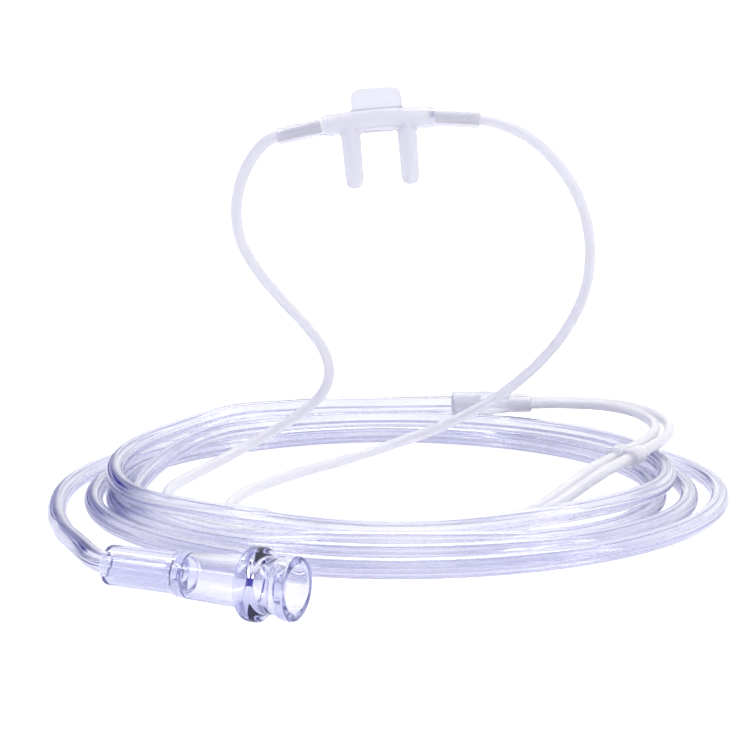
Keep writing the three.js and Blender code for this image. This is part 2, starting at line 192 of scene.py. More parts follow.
def evenly(path, step):
    """The same line with points a step apart along it."""
    along = np.concatenate([[0.0], np.cumsum(np.linalg.norm(np.diff(path, axis=0), axis=1))])
    count = max(int(round(along[-1] / step)), 2)
    stops = np.linspace(0.0, along[-1], count + 1)
    return np.stack([np.interp(stops, along, path[:, axis]) for axis in range(3)], axis=1)


def eased(path, rounds):
    """Each point but the ends moves half way to the middle of its neighbours, some rounds."""
    path = path.copy()
    for _ in range(rounds):
        path[1:-1] = 0.25 * path[:-2] + 0.5 * path[1:-1] + 0.25 * path[2:]
    return path


def bar_axis(x):
    """The nasal bar's middle line, bent down and back as the square of x, then rolled."""
    x = np.atleast_1d(np.asarray(x, float))
    share = x / (BAR_LENGTH / 2)
    points = np.stack([x, BAR_SWEEP * share**2, -BAR_DROP * share**2], axis=1)
    return rolled(points)


def rolled(points):
    """From the nasal piece's own frame to the lay frame: rolled about Y, then shifted."""
    cos, sin = math.cos(NASAL_ROLL), math.sin(NASAL_ROLL)
    turn = np.array([[cos, 0.0, sin], [0.0, 1.0, 0.0], [-sin, 0.0, cos]])
    return np.asarray(points, float) @ turn + NASAL_AT


def nasal_mouth(side, beyond):
    """Points on the line that leaves a socket of the nasal piece."""
    half = BAR_LENGTH / 2
    along = np.array([half, 2 * BAR_SWEEP, -2 * BAR_DROP])
    along /= np.linalg.norm(along)
    point = np.array([half, BAR_SWEEP, -BAR_DROP]) + along * beyond
    return rolled([point * [side, 1, 1]])[0]


def connector_line(beyond):
    """Points on the connector's axis, out of its tube end."""
    return CONNECTOR_AT + beyond * np.array([-math.cos(LAY_TURN), math.sin(LAY_TURN), 0.0])


def on_splitter(along, across):
    """A point at the height of the splitter's axis, from the middle of its thin end."""
    return turned_about_z([[along, across, 0.0]], SPLITTER_HEADING)[0] + SPLITTER_AT


def on_pair(along, across):
    """A point at the height of the two thin tubes, from the slide adjuster's middle."""
    return turned_about_z([[along, across, 0.0]], SLIDER_HEADING)[0] + SLIDER_AT


def beside(rows, across):
    """The row of points moved sideways, square to the line through their neighbours."""
    rows = np.asarray(rows, float)
    whole = np.vstack([rows[:1], rows, rows[-1:]])
    heading = whole[2:] - whole[:-2]
    aside = np.stack([-heading[:, 1], heading[:, 0], 0 * heading[:, 0]], axis=1)
    return rows + across * aside / np.linalg.norm(aside, axis=1)[:, None]


def lariat_path(side, out):
    """A thin tube: out of its socket in the nasal piece, down to the table, round inside
    the coil, through the slide adjuster and along the coil's back into the splitter."""
    across = -side * SLIDER_PITCH / 2
    half = BAR_LENGTH / 2
    into = bar_axis(-side * np.array([half - SOCKET_DEPTH + 0.4, half - 7.5, half - 3.6]))
    apart = side * SPLITTER_PITCH / 2
    points = np.vstack([
        into,
        [nasal_mouth(-side, 0.3), nasal_mouth(-side, 2.8)],
        out,
        [on_pair(along, across) for along in PAIR_STOPS],
        beside(PAIR_BACK, across),
        [on_splitter(along, -apart) for along in (-3.3, -0.3, 3.0, THIN_SOCKET_DEPTH - 0.3)],
    ])
    return eased(evenly(through(points), 1.5), 4)


# Laying the coil: its step, how long a stretch isn't its own neighbour, and the distances
# that turns keep from each other, from the thin tubes and, to their middle, from the table
COIL_STEP_DEG = 2.0
LAY_EASING = 14
OWN_STRETCH = 40
TURNS_APART = SUPPLY_OD + 0.06
THIN_TUBE_APART = (SUPPLY_OD + LARIAT_OD) / 2 + 0.1
RESTS_AT = SUPPLY_OD / 2 + 0.02
LAYING_ROUNDS = 160
UNEASED_ROUNDS = 10


def coil_path(blocked):
    """The turns of the supply tube. They start from the laid-out radii and heights, and a
    loop then moves them apart wherever two stretches, or a stretch and a thin tube, are
    closer than their diameters allow, and lets none go below the table."""
    lay = np.array(COIL_LAY, float)
    degrees = np.arange(lay[0, 0], lay[-1, 0] + 0.1, COIL_STEP_DEG)
    angle = np.radians(degrees)
    radius, height = (np.interp(degrees, lay[:, 0], lay[:, k]) for k in (1, 2))
    for _ in range(LAY_EASING):
        radius[1:-1] = 0.25 * radius[:-2] + 0.5 * radius[1:-1] + 0.25 * radius[2:]
        height[1:-1] = 0.25 * height[:-2] + 0.5 * height[1:-1] + 0.25 * height[2:]
    path = np.stack([radius * np.cos(angle), radius * np.sin(angle), height], axis=1)
    order = np.arange(len(path))
    others = np.abs(order[:, None] - order[None, :]) > OWN_STRETCH
    for turn in range(LAYING_ROUNDS):
        apart = path[:, None, :] - path[None, :, :]
        distance = np.linalg.norm(apart, axis=2) + 1e-9
        short = np.where(others, np.clip(TURNS_APART - distance, 0, None), 0.0)
        push = (apart * (0.45 * short / distance)[:, :, None]).sum(axis=1)
        apart = path[:, None, :] - blocked[None, :, :]
        distance = np.linalg.norm(apart, axis=2) + 1e-9
        short = np.clip(THIN_TUBE_APART - distance, 0, None)
        push += (apart * (0.5 * short / distance)[:, :, None]).sum(axis=1) * 0.3
        push[:3] = push[-3:] = 0.0
        path = path + push
        path[:, 2] = np.maximum(path[:, 2], RESTS_AT)
        if turn < LAYING_ROUNDS - UNEASED_ROUNDS:
            path[1:-1] = 0.05 * path[:-2] + 0.9 * path[1:-1] + 0.05 * path[2:]
    return path


def supply_path(blocked):
    """The supply tube: out of the splitter, along its lead, round its turns and into the
    connector, as far as the seat in its barrel."""
    start = [
        on_splitter(along, 0.0)
        for along in (SPLITTER_LENGTH - SUPPLY_SOCKET_DEPTH + 0.4, SPLITTER_LENGTH - 3.5,
                      SPLITTER_LENGTH + 0.3, SPLITTER_LENGTH + 5.3)
    ]
    end = [connector_line(along) for along in (0.3, -5.0, -11.0, 0.3 - TUBE_SEAT)]
    points = np.vstack([start, SUPPLY_LEAD[:2], coil_path(blocked)[::5], SUPPLY_TAIL, end])
    return evenly(eased(evenly(through(points), 1.5), 12), 2.2)


# Surfaces


def mesh_from_grid(name, grid, around_closed=True, along_closed=False, caps=False, uv=None):
    """A surface of quads over a grid of points (rows along, columns around). Closed
    directions wrap, and caps fill the first and last row with a fan from its middle."""
    rows, columns = grid.shape[:2]
    points = grid.reshape(-1, 3)
    last_row = rows if along_closed else rows - 1
    last_column = columns if around_closed else columns - 1
    r, c = np.meshgrid(np.arange(last_row), np.arange(last_column), indexing="ij")
    r2, c2 = (r + 1) % rows, (c + 1) % columns
    quads = np.stack([r * columns + c, r * columns + c2, r2 * columns + c2, r2 * columns + c], -1)
    quads = quads.reshape(-1, 4)
    faces = quads.tolist()
    if caps:
        middles = np.array([grid[0].mean(axis=0), grid[-1].mean(axis=0)])
        points = np.vstack([points, middles])
        ring = np.arange(columns)
        after = (ring + 1) % columns
        start = np.stack([0 * ring + rows * columns, after, ring], axis=1)
        base = (rows - 1) * columns
        end = np.stack([0 * ring + rows * columns + 1, base + ring, base + after], axis=1)
        faces += start.tolist() + end.tolist()
    mesh = bpy.data.meshes.new(name)
    mesh.from_pydata(placed(points).tolist(), [], faces)
    if uv is not None:
        layer = mesh.uv_layers.new(name="along_and_around")
        corner_rows = np.stack([r, r, r + 1, r + 1], -1).reshape(-1)
        corner_columns = np.stack([c, c + 1, c + 1, c], -1).reshape(-1)
        values = np.stack([uv[0][corner_rows], uv[1][corner_columns]], axis=1)
        spare = len(mesh.loops) - len(values)
        values = np.vstack([values, np.zeros((spare, 2))])
        layer.data.foreach_set("uv", values.astype(np.float32).ravel())
    mesh.update()
    mesh.validate()
    mesh.shade_smooth()
    mesh.set_sharp_from_angle(angle=math.radians(40))
    return mesh


def frames_along(path):
    """At each point of a path: its heading, a side that stays level and the up that is
    square to both."""
    heading = np.gradient(path, axis=0)
    heading /= np.linalg.norm(heading, axis=1)[:, None]
    side = np.stack([-heading[:, 1], heading[:, 0], 0 * heading[:, 0]], axis=1)
    side /= np.linalg.norm(side, axis=1)[:, None]
    up = np.cross(heading, side)
    return heading, side, up


def hollow_tube(name, path, outer, inner):
    """A tube with an open bore: the outer outline is carried forward along the path and
    the bore's outline back along it, so that the two close over both cut ends. outer and
    inner give the radius at each angle round the path."""
    heading, side, up = frames_along(path)
    around = np.linspace(0.0, 2 * math.pi, len(outer), endpoint=False)

    def rings(radius):
        out = np.cos(around)[None, :, None] * side[:, None, :]
        out = out + np.sin(around)[None, :, None] * up[:, None, :]
        return path[:, None, :] + out * radius[None, :, None]

    shrunk = rings(outer - CUT_END_LIP)[[0, -1]]
    outside = rings(outer)
    outside[0] += heading[0] * CUT_END_LIP
    outside[-1] -= heading[-1] * CUT_END_LIP
    inside = rings(inner)
    grid = np.concatenate([shrunk[:1], outside, shrunk[1:], inside[::-1]])
    along = np.concatenate([[0.0], np.cumsum(np.linalg.norm(np.diff(path, axis=0), axis=1))])
    v = np.concatenate([along[:1], along, along[-1:], along[::-1], along[:1]]) * MM
    u = np.linspace(0.0, 1.0, len(outer) + 1)
    return mesh_from_grid(name, grid, along_closed=True, uv=(v, u))


def circle(radius, count):
    """The same radius at each angle."""
    return np.full(count, float(radius))


def star_bore(count):
    """The supply tube's bore: a circle with low rounded ribs, so that it can't be kinked
    shut. Its radius swings with the cosine of the ribs' number times the angle."""
    around = np.linspace(0.0, 2 * math.pi, count, endpoint=False)
    return SUPPLY_BORE / 2 + BORE_RIB_HEIGHT * np.cos(BORE_RIBS * around)


def rounded(profile, radii, steps=5):
    """A closed outline of (along, radius) with each corner drawn as an arc: a quadratic
    curve from one side of the corner to the other."""
    profile = np.asarray(profile, float)
    before, after = np.roll(profile, 1, axis=0), np.roll(profile, -1, axis=0)
    back, on = before - profile, after - profile
    back_length = np.linalg.norm(back, axis=1)
    on_length = np.linalg.norm(on, axis=1)
    reach = np.minimum(np.asarray(radii, float), 0.45 * np.minimum(back_length, on_length))
    start = profile + back / back_length[:, None] * reach[:, None]
    end = profile + on / on_length[:, None] * reach[:, None]
    t = np.linspace(0.0, 1.0, steps + 1)[None, :, None]
    arc = (1 - t) ** 2 * start[:, None] + 2 * t * (1 - t) * profile[:, None]
    arc = arc + t**2 * end[:, None]
    return arc.reshape(-1, 2)


def turned_shell(name, outline, start, heading, segments=96):
    """A closed outline of (along, radius) turned round an axis."""
    around = np.linspace(0.0, 2 * math.pi, segments, endpoint=False)
    side = np.array([-heading[1], heading[0], 0.0])
    up = np.cross(heading, side)
    ring = np.cos(around)[:, None] * side + np.sin(around)[:, None] * up
    grid = start + outline[:, None, :1] * heading + outline[:, None, 1:] * ring[None]
    return mesh_from_grid(name, grid, along_closed=True)


def new_piece(name, mesh, material, body=BODY):
    """A finished piece at the origin, riding on its body."""
    obj = bpy.data.objects.new(name, mesh)
    bpy.context.scene.collection.objects.link(obj)
    mesh.materials.clear()
    mesh.materials.append(material)
    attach(obj, body)
    return obj


# Materials

PVC_IOR = 1.53
# What is left of white light deep in clear and in milky PVC
DEEP_CLEAR = "#5a66c8"
DEEP_MILKY = "#6a6ee0"
# Draw lines round the supply tube: one about each 0.8 mm
DRAW_LINES_AROUND = 18.0


def linear(hexcode):
    """An sRGB hex colour as the linear colour that shaders take."""
    parts = np.array([int(hexcode[i : i + 2], 16) for i in (1, 3, 5)]) / 255.0
    parts = np.where(parts <= 0.04045, parts / 12.92, ((parts + 0.055) / 1.055) ** 2.4)
    return (*parts.tolist(), 1.0)


def add(tree, kind, settings=None, **inputs):
    """One node with its settings, its values and its links. An input given as a socket is
    linked, and any other is the socket's own value."""
    node = tree.nodes.new(kind)
    for key, value in (settings or {}).items():
        setattr(node, key, value)
    for key, value in inputs.items():
        name = key.replace("_", " ")
        socket = node.inputs[int(name)] if name.isdigit() else node.inputs[name]
        if isinstance(value, bpy.types.NodeSocket):
            tree.links.new(value, socket)
        else:
            socket.default_value = value
    return node


def new_material(name):
    """An empty node material and its tree."""
    material = bpy.data.materials.new(name)
    material.use_nodes = True
    material.node_tree.nodes.clear()
    return material, material.node_tree


def lit_through(tree, surface, tint, share, depth_colour=None, density=0.0):
    """Lets part of the lamps' light straight through to what lies behind, so that a clear
    piece throws the pale shadow that it has on a white table. The depth colour is what is
    left of white light deep in the plastic, at a density per metre."""
    path = add(tree, "ShaderNodeLightPath")
    part = add(
        tree, "ShaderNodeMath", {"operation": "MULTIPLY"},
        **{"0": path.outputs["Is Shadow Ray"], "1": share},
    )
    clear = add(tree, "ShaderNodeBsdfTransparent", Color=linear(tint))
    mix = add(
        tree, "ShaderNodeMixShader", Fac=part.outputs[0], **{"1": surface, "2": clear.outputs[0]}
    )
    end = add(tree, "ShaderNodeOutputMaterial", Surface=mix.outputs[0])
    if depth_colour:
        depth = add(
            tree, "ShaderNodeVolumeAbsorption", Color=linear(depth_colour), Density=density
        )
        tree.links.new(depth.outputs[0], end.inputs["Volume"])


def extruded_supply_vinyl():
    """Clear extruded PVC with a violet tint. Glossy, refracting as PVC does at 1.53, with
    the faint lines that the die leaves along it. Its tint is in its depth, so the tube
    turns indigo where a bend is seen end on."""
    material, tree = new_material("extruded clear PVC, violet tint")
    uv = add(tree, "ShaderNodeUVMap", {"uv_map": "along_and_around"})
    parts = add(tree, "ShaderNodeSeparateXYZ", Vector=uv.outputs[0])
    lines_at = add(tree, "ShaderNodeCombineXYZ", X=0.0, Y=parts.outputs["Y"])
    lines = add(
        tree, "ShaderNodeTexNoise", Vector=lines_at.outputs[0], Scale=DRAW_LINES_AROUND,
        Detail=2.0,
    )
    bump = add(
        tree, "ShaderNodeBump", Strength=0.05, Distance=0.05 * MM, Height=lines.outputs["Fac"]
    )
    surface = add(
        tree, "ShaderNodeBsdfPrincipled", Base_Color=linear("#fbfbfd"), Roughness=0.05,
        IOR=PVC_IOR, Transmission_Weight=1.0, Normal=bump.outputs[0],
    )
    lit_through(tree, surface.outputs[0], "#e6e5f6", 0.85, DEEP_CLEAR, 46.0)
    return material


def skin_bump(tree, at, cells_per_mm, strength, depth_mm, detail=2.0):
    """The fine unevenness of a moulded or drawn skin. Its cells, a millimetre or more, are
    coarser than the real ones, which are too fine to see at this distance."""
    skin = add(
        tree, "ShaderNodeTexNoise", Vector=at.outputs["Object"], Scale=cells_per_mm * PER_MM,
        Detail=detail,
    )
    bump = add(
        tree, "ShaderNodeBump", Strength=strength, Distance=depth_mm * MM,
        Height=skin.outputs["Fac"],
    )
    return bump.outputs[0]


def extruded_thin_vinyl():
    """Soft extruded PVC of the thin tubes: milky, so light goes in and comes out soft, with
    the fine matte skin that soft PVC has as it leaves the die."""
    material, tree = new_material("extruded soft PVC, milky")
    at = add(tree, "ShaderNodeTexCoord")
    surface = add(
        tree, "ShaderNodeBsdfPrincipled", Base_Color=linear("#fafafa"), Roughness=0.28,
        IOR=PVC_IOR, Transmission_Weight=0.55, Normal=skin_bump(tree, at, 0.7, 0.08, 0.1),
    )
    lit_through(tree, surface.outputs[0], "#f0eff5", 0.8)
    return material


def moulded_soft_vinyl():
    """Soft PVC moulded in a satin tool: milky clear, with a faint orange-peel skin."""
    material, tree = new_material("moulded soft PVC, milky satin")
    at = add(tree, "ShaderNodeTexCoord")
    surface = add(
        tree, "ShaderNodeBsdfPrincipled", Base_Color=linear("#f8f8f9"), Roughness=0.22,
        IOR=PVC_IOR, Transmission_Weight=0.7, Normal=skin_bump(tree, at, 0.9, 0.1, 0.1),
    )
    lit_through(tree, surface.outputs[0], "#eeedf5", 0.8, DEEP_MILKY, 12.0)
    return material


def nasal_vinyl():
    """The soft PVC of the nasal piece. Its thin sockets are wetted by the bonding solvent,
    which leaves them glassy, so the tubes' ends show in them, and the rest stays milky."""
    material, tree = new_material("moulded soft PVC, solvent-bonded sockets")
    at = add(tree, "ShaderNodeTexCoord")
    along = [[math.cos(NASAL_ROLL), 0.0, math.sin(NASAL_ROLL)]]
    from_middle = add(
        tree, "ShaderNodeVectorMath", {"operation": "SUBTRACT"},
        **{"0": at.outputs["Object"], "1": tuple(placed([NASAL_AT])[0])},
    )
    reach = add(
        tree, "ShaderNodeVectorMath", {"operation": "DOT_PRODUCT"},
        **{"0": from_middle.outputs[0], "1": tuple(turned_about_z(along, LAY_TURN)[0])},
    )
    outward = add(
        tree, "ShaderNodeMath", {"operation": "ABSOLUTE"}, **{"0": reach.outputs["Value"]}
    )
    socket_at = BAR_LENGTH / 2 - SOCKET_DEPTH
    wetted = add(
        tree, "ShaderNodeMapRange", {"interpolation_type": "SMOOTHSTEP"},
        Value=outward.outputs[0], From_Min=(socket_at - 1.4) * MM,
        From_Max=(socket_at - 0.2) * MM,
    )
    clear = add(tree, "ShaderNodeMapRange", Value=wetted.outputs[0], To_Min=0.7, To_Max=0.86)
    gloss = add(tree, "ShaderNodeMapRange", Value=wetted.outputs[0], To_Min=0.2, To_Max=0.1)
    surface = add(
        tree, "ShaderNodeBsdfPrincipled", Base_Color=linear("#f8f8f8"), IOR=PVC_IOR,
        Roughness=gloss.outputs[0], Transmission_Weight=clear.outputs[0],
        Normal=skin_bump(tree, at, 0.9, 0.08, 0.1),
    )
    lit_through(tree, surface.outputs[0], "#eeedf5", 0.8, DEEP_MILKY, 12.0)
    return material


def moulded_clear_vinyl():
    """Firm clear PVC moulded in a polished tool: glassy, violet where the light comes
    through much of it, with the faint waviness of a moulded skin."""
    material, tree = new_material("moulded firm PVC, clear")
    at = add(tree, "ShaderNodeTexCoord")
    surface = add(
        tree, "ShaderNodeBsdfPrincipled", Base_Color=linear("#fbfbfd"), Roughness=0.03,
        IOR=PVC_IOR, Transmission_Weight=1.0, Normal=skin_bump(tree, at, 0.16, 0.06, 0.2, 1.0),
    )
    lit_through(tree, surface.outputs[0], "#f2f1fb", 0.9, DEEP_CLEAR, 70.0)
    return material


SUPPLY_VINYL = extruded_supply_vinyl()
THIN_VINYL = extruded_thin_vinyl()
SOFT_VINYL = moulded_soft_vinyl()
NASAL_VINYL = nasal_vinyl()
CLEAR_VINYL = moulded_clear_vinyl()

# Cords

left_path = lariat_path(1, LEFT_LARIAT_OUT)
right_path = lariat_path(-1, RIGHT_LARIAT_OUT)
thin_lines = np.vstack([left_path, right_path])
NEAR_THE_COIL = 20.0
supply_line = supply_path(thin_lines[thin_lines[:, 2] < NEAR_THE_COIL])


def make_cord(name, path, outer, inner, material, slot, nodes, **facts):
    """One tube in one piece, with its length and route, in place of the nodes' stand-ins."""
    piece = new_piece(name, hollow_tube(name, path, outer, inner), material)
    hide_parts(*nodes)
    return piece


for name, path, side in (
    ("lariat_tube_left", left_path, 1),
    ("lariat_tube_right", right_path, -1),
):
    make_cord(
        "cord_" + name, path, circle(LARIAT_OD / 2, 24), circle(LARIAT_BORE / 2, 24),
        THIN_VINYL, "soft_vinyl", [name],
        exit=placed([nasal_mouth(-side, 0.3)])[0], diameter=LARIAT_OD * MM,
        far_end="object", stiffness="medium", lay="loose",
    )

# Oxygen connector

CONNECTOR_OUTLINE = [
    # along, radius, rounding
    (0.0, 2.5, 0.15), (0.0, 4.35, 1.1), (16.6, 4.35, 0.8), (17.8, 4.9, 0.8),
    (33.5, 5.35, 0.6), (34.2, 7.75, 0.9), (37.3, 7.75, 0.9), (38.0, 5.8, 0.9),
    (41.2, 5.8, 0.9), (42.8, 6.7, 0.8), (45.0, 6.7, 0.5), (45.0, 4.92, 0.4),
    (19.9, 4.05, 0.5), (18.4, 1.45, 0.1), (17.4, 1.45, 0.1), (17.4, 2.5, 0.1),
]


def connector_shell():
    """The connector's wall: barrel, flange and funnel, turned round its axis."""
    rows = np.array(CONNECTOR_OUTLINE)
    outline = rounded(rows[:, :2], rows[:, 2])
    heading = np.array([math.cos(LAY_TURN), -math.sin(LAY_TURN), 0.0])
    return turned_shell("oxygen_connector_body", outline, CONNECTOR_AT, heading)


connector = new_piece("oxygen_connector_body", connector_shell(), CLEAR_VINYL)
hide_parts("oxygen_connector")

make_cord(
    "cord_supply_tube", supply_line, circle(SUPPLY_OD / 2, 36), star_bore(36),
    SUPPLY_VINYL, "supply_vinyl",
    ["supply_tube_lead", "supply_tube_coil", "supply_tube_tail"],
    exit=placed([on_splitter(SPLITTER_LENGTH + 0.3, 0.0)])[0], diameter=SUPPLY_OD * MM,
    far_end="connector", stiffness="medium", lay="coiled", with_pieces=[connector],
)

# Moulded pieces


def solid_rod(name, path, radius, segments=48):
    """A closed rod: a circle of the given radii carried along a path, with capped ends."""
    _, side, up = frames_along(path)
    around = np.linspace(0.0, 2 * math.pi, segments, endpoint=False)
    out = np.cos(around)[None, :, None] * side[:, None, :]
    out = out + np.sin(around)[None, :, None] * up[:, None, :]
    radius = np.broadcast_to(np.asarray(radius, float), (len(path),))
    return mesh_from_grid(name, path[:, None, :] + out * radius[:, None, None], caps=True)


def loose(name, mesh):
    """An object in the scene, before it is finished or used up."""
    obj = bpy.data.objects.new(name, mesh)
    bpy.context.scene.collection.objects.link(obj)
    return obj


def applied(obj):
    """The object's mesh with its modifiers worked in."""
    bpy.context.view_layer.update()
    graph = bpy.context.evaluated_depsgraph_get()
    mesh = bpy.data.meshes.new_from_object(obj.evaluated_get(graph))
    obj.modifiers.clear()
    obj.data = mesh
    return obj


def cut(obj, meshes, operation="DIFFERENCE"):
    """Cuts the closed meshes out of the object, or joins them to it."""
    for mesh in meshes:
        other = loose("cutter", mesh)
        modifier = obj.modifiers.new("cut", "BOOLEAN")
        modifier.object, modifier.operation, modifier.solver = other, operation, "MANIFOLD"
        applied(obj)
        bpy.data.objects.remove(other)
    return obj


def drawn_together(obj, voxel, rounds):
    """One skin over the joined solids, with its inner corners eased into fillets."""
    remesh = obj.modifiers.new("skin", "REMESH")
    remesh.mode, remesh.voxel_size = "VOXEL", voxel * MM
    smooth = obj.modifiers.new("ease", "SMOOTH")
    smooth.factor, smooth.iterations = 0.5, rounds
    return applied(obj)


def straight(start, end, count=4):
    """Points evenly along the line from start to end."""
    start, end = np.asarray(start, float), np.asarray(end, float)
    return start + (end - start) * np.linspace(0.0, 1.0, count)[:, None]


# Nasal piece: radii, the prongs' shape and the tab's half width, half height and middle
BAR_RADIUS = 2.8
SOCKET_RADIUS = 2.3
BAR_BORE_RADIUS = 1.7
SOCKET_BORE_RADIUS = 1.8
PRONG_PITCH = 14.2
PRONG_LENGTH = 16.4
PRONG_CURVE = 2.6
PRONG_RADIUS = 2.6
PRONG_TAPER = 0.35
PRONG_BORE_RADIUS = 1.5
PRONG_RINGS = [0, 1, 2, 2.6, 3.2, 4.4, 6, 8, 10, 12, 14, 15.2, 15.9, 16.25, 16.4]
PRONG_TIP_INSETS = [0.0] * 11 + [0.05, 0.2, 0.45, 0.75]
TAB_HALF_WIDTH = 6.4
TAB_HALF_HEIGHT = 5.6
TAB_MIDDLE = 2.4
TAB_SQUARENESS = 5.5
TAB_LAYERS = [(-0.65, 0.3), (-0.62, 0.1), (-0.5, 0.0), (0.5, 0.0), (0.62, 0.1), (0.65, 0.3)]
SKIN_VOXEL = 0.2
SKIN_ROUNDS = 6


def prong_line(x, reach):
    """A prong's middle line: straight down, bending back as the square of its reach."""
    reach = np.asarray(reach, float)
    share = x / (BAR_LENGTH / 2)
    points = np.stack([
        np.full_like(reach, x),
        BAR_SWEEP * share**2 + PRONG_CURVE * (reach / PRONG_LENGTH) ** 2,
        -BAR_DROP * share**2 - reach,
    ], axis=1)
    return rolled(points)


def prong_rod(name, x, reach, radius):
    """The prong is laid on its side to carry the circle down it: its up is the bar's own."""
    path = prong_line(x, reach)
    heading = np.gradient(path, axis=0)
    heading /= np.linalg.norm(heading, axis=1)[:, None]
    side = np.cross(heading, np.array([0.0, 1.0, 0.0]))
    side /= np.linalg.norm(side, axis=1)[:, None]
    up = np.cross(heading, side)
    around = np.linspace(0.0, 2 * math.pi, 40, endpoint=False)
    out = np.cos(around)[None, :, None] * side[:, None, :]
    out = out + np.sin(around)[None, :, None] * up[:, None, :]
    grid = path[:, None, :] + out * np.asarray(radius)[:, None, None]
    return mesh_from_grid(name, grid, caps=True)


def tab_slab():
    """The tab: a squarish outline carried from front to back, with its edges drawn in. The
    outline is a superellipse, the cosine and the sine each raised to the same power."""
    around = np.linspace(0.0, 2 * math.pi, 96, endpoint=False)
    power = 2 / TAB_SQUARENESS
    x = TAB_HALF_WIDTH * np.sign(np.cos(around)) * np.abs(np.cos(around)) ** power
    z = TAB_HALF_HEIGHT * np.sign(np.sin(around)) * np.abs(np.sin(around)) ** power
    depth, inset = np.array(TAB_LAYERS).T
    scale_x, scale_z = 1 - inset / TAB_HALF_WIDTH, 1 - inset / TAB_HALF_HEIGHT
    grid = np.stack([
        x[None] * scale_x[:, None],
        np.repeat(depth[:, None], len(around), axis=1),
        TAB_MIDDLE + z[None] * scale_z[:, None],
    ], axis=-1)
    return mesh_from_grid("tab", rolled(grid.reshape(-1, 3)).reshape(grid.shape), caps=True)


def nasal_body():
    """The bar with its narrower sockets, the tab and the two prongs under one skin, with
    the bar's bore, the sockets and the prongs' passages cut through it."""
    half = BAR_LENGTH / 2
    x = np.linspace(-half, half, 90)
    socket = half - SOCKET_DEPTH
    swell = np.clip((socket - np.abs(x)) / 1.2, 0, 1)
    radius = SOCKET_RADIUS + (BAR_RADIUS - SOCKET_RADIUS) * swell
    body = loose("nasal_prong_piece", solid_rod("bar", bar_axis(x), radius))
    reach = np.array(PRONG_RINGS)
    taper = PRONG_RADIUS - PRONG_TAPER * reach / PRONG_LENGTH - np.array(PRONG_TIP_INSETS)
    prongs = [prong_rod("prong", side * PRONG_PITCH / 2, reach, taper) for side in (-1, 1)]
    cut(body, [tab_slab(), *prongs], "UNION")
    drawn_together(body, SKIN_VOXEL, SKIN_ROUNDS)
    inner = np.linspace(-half - 1, half + 1, 60)
    bores = [solid_rod("bore", bar_axis(inner), BAR_BORE_RADIUS, 32)]
    down = np.linspace(0.0, PRONG_LENGTH + 1.1, 14)
    for side in (-1, 1):
        deep = side * np.linspace(socket, half + 1, 14)
        bores.append(solid_rod("socket", bar_axis(deep), SOCKET_BORE_RADIUS, 32))
        bores.append(
            prong_rod("passage", side * PRONG_PITCH / 2, down, circle(PRONG_BORE_RADIUS, 14))
        )
    return cut(body, bores)


def merged_outline(apart, radius, count=64):
    """The outline of two overlapping circles: in each direction the further of the two."""
    around = np.linspace(0.0, 2 * math.pi, count, endpoint=False)
    across, up = np.cos(around), np.sin(around)
    reach = apart * np.abs(across) + np.sqrt(np.maximum(radius**2 - (apart * up) ** 2, 0.01))
    return reach * across, reach * up


def merged_body(name, along, apart, radius, heading, at):
    """The merged outlines carried along a level axis: one row for each place along it."""
    rows = []
    for place, gap, size in zip(along, apart, radius):
        across, up = merged_outline(gap, size)
        rows.append(np.stack([np.full_like(across, place), across, up], axis=1))
    grid = turned_about_z(np.array(rows), heading) + at
    return loose(name, mesh_from_grid(name, grid, caps=True))


# Splitter and slide adjuster: where the outline is drawn, radii and rounded ends
SPLITTER_ROWS = [
    0, 0.08, 0.25, 0.6, 2, 4, 6, 7, 8, 9, 10, 11, 12, 13, 14, 15, 16, 18, 20, 21.5, 22.3,
    22.6, 22.75, 22.8,
]
THIN_SOCKET_RADIUS = 2.4
SUPPLY_SOCKET_RADIUS = 3.5
MERGE_FROM = 5.0
MERGE_LENGTH = 8.5
SPLITTER_ROUND = (0.45, 0.22)
THIN_SEAT_RADIUS = 1.62
SUPPLY_SEAT_RADIUS = 2.5
PASSAGE_RADIUS = 0.9
PASSAGE_END = 15.5
SLIDER_ROWS = [-4.0, -3.97, -3.85, -3.6, -3.2, -2.4, 0, 2.4, 3.2, 3.6, 3.85, 3.97, 4.0]
SLIDER_RADIUS = 2.5
SLIDER_ROUND = (0.5, 0.3)
SLIDER_BORE_RADIUS = 1.72


def splitter_body():
    """Two thin sockets side by side that draw together into the supply tube's socket: the
    outline of two overlapping circles whose middles close up along the piece, with a smooth
    step, and whose ends are drawn in as the exponential of the distance from them."""
    along = np.array(SPLITTER_ROWS)
    share = np.clip((along - MERGE_FROM) / MERGE_LENGTH, 0, 1)
    share = share * share * (3 - 2 * share)
    half = SPLITTER_PITCH / 2
    radius = THIN_SOCKET_RADIUS + (SUPPLY_SOCKET_RADIUS - THIN_SOCKET_RADIUS) * share
    ends = np.minimum(along, SPLITTER_LENGTH - along)
    radius = radius - SPLITTER_ROUND[0] * np.exp(-ends / SPLITTER_ROUND[1])
    body = merged_body(
        "y_splitter_body", along, half * (1 - share), radius, SPLITTER_HEADING, SPLITTER_AT
    )
    seat_end = on_splitter(SPLITTER_LENGTH - SUPPLY_SOCKET_DEPTH, 0.0)
    seat = straight(seat_end, on_splitter(SPLITTER_LENGTH + 1, 0.0))
    cutters = [solid_rod("seat", seat, SUPPLY_SEAT_RADIUS, 32)]
    for side in (-1, 1):
        seat = straight(on_splitter(-1, side * half), on_splitter(THIN_SOCKET_DEPTH, side * half))
        cutters.append(solid_rod("seat", seat, THIN_SEAT_RADIUS, 32))
        passage_start = on_splitter(THIN_SOCKET_DEPTH - 0.5, side * half)
        passage = straight(passage_start, on_splitter(PASSAGE_END, side * 0.5))
        cutters.append(solid_rod("passage", passage, PASSAGE_RADIUS, 24))
    return cut(body, cutters)


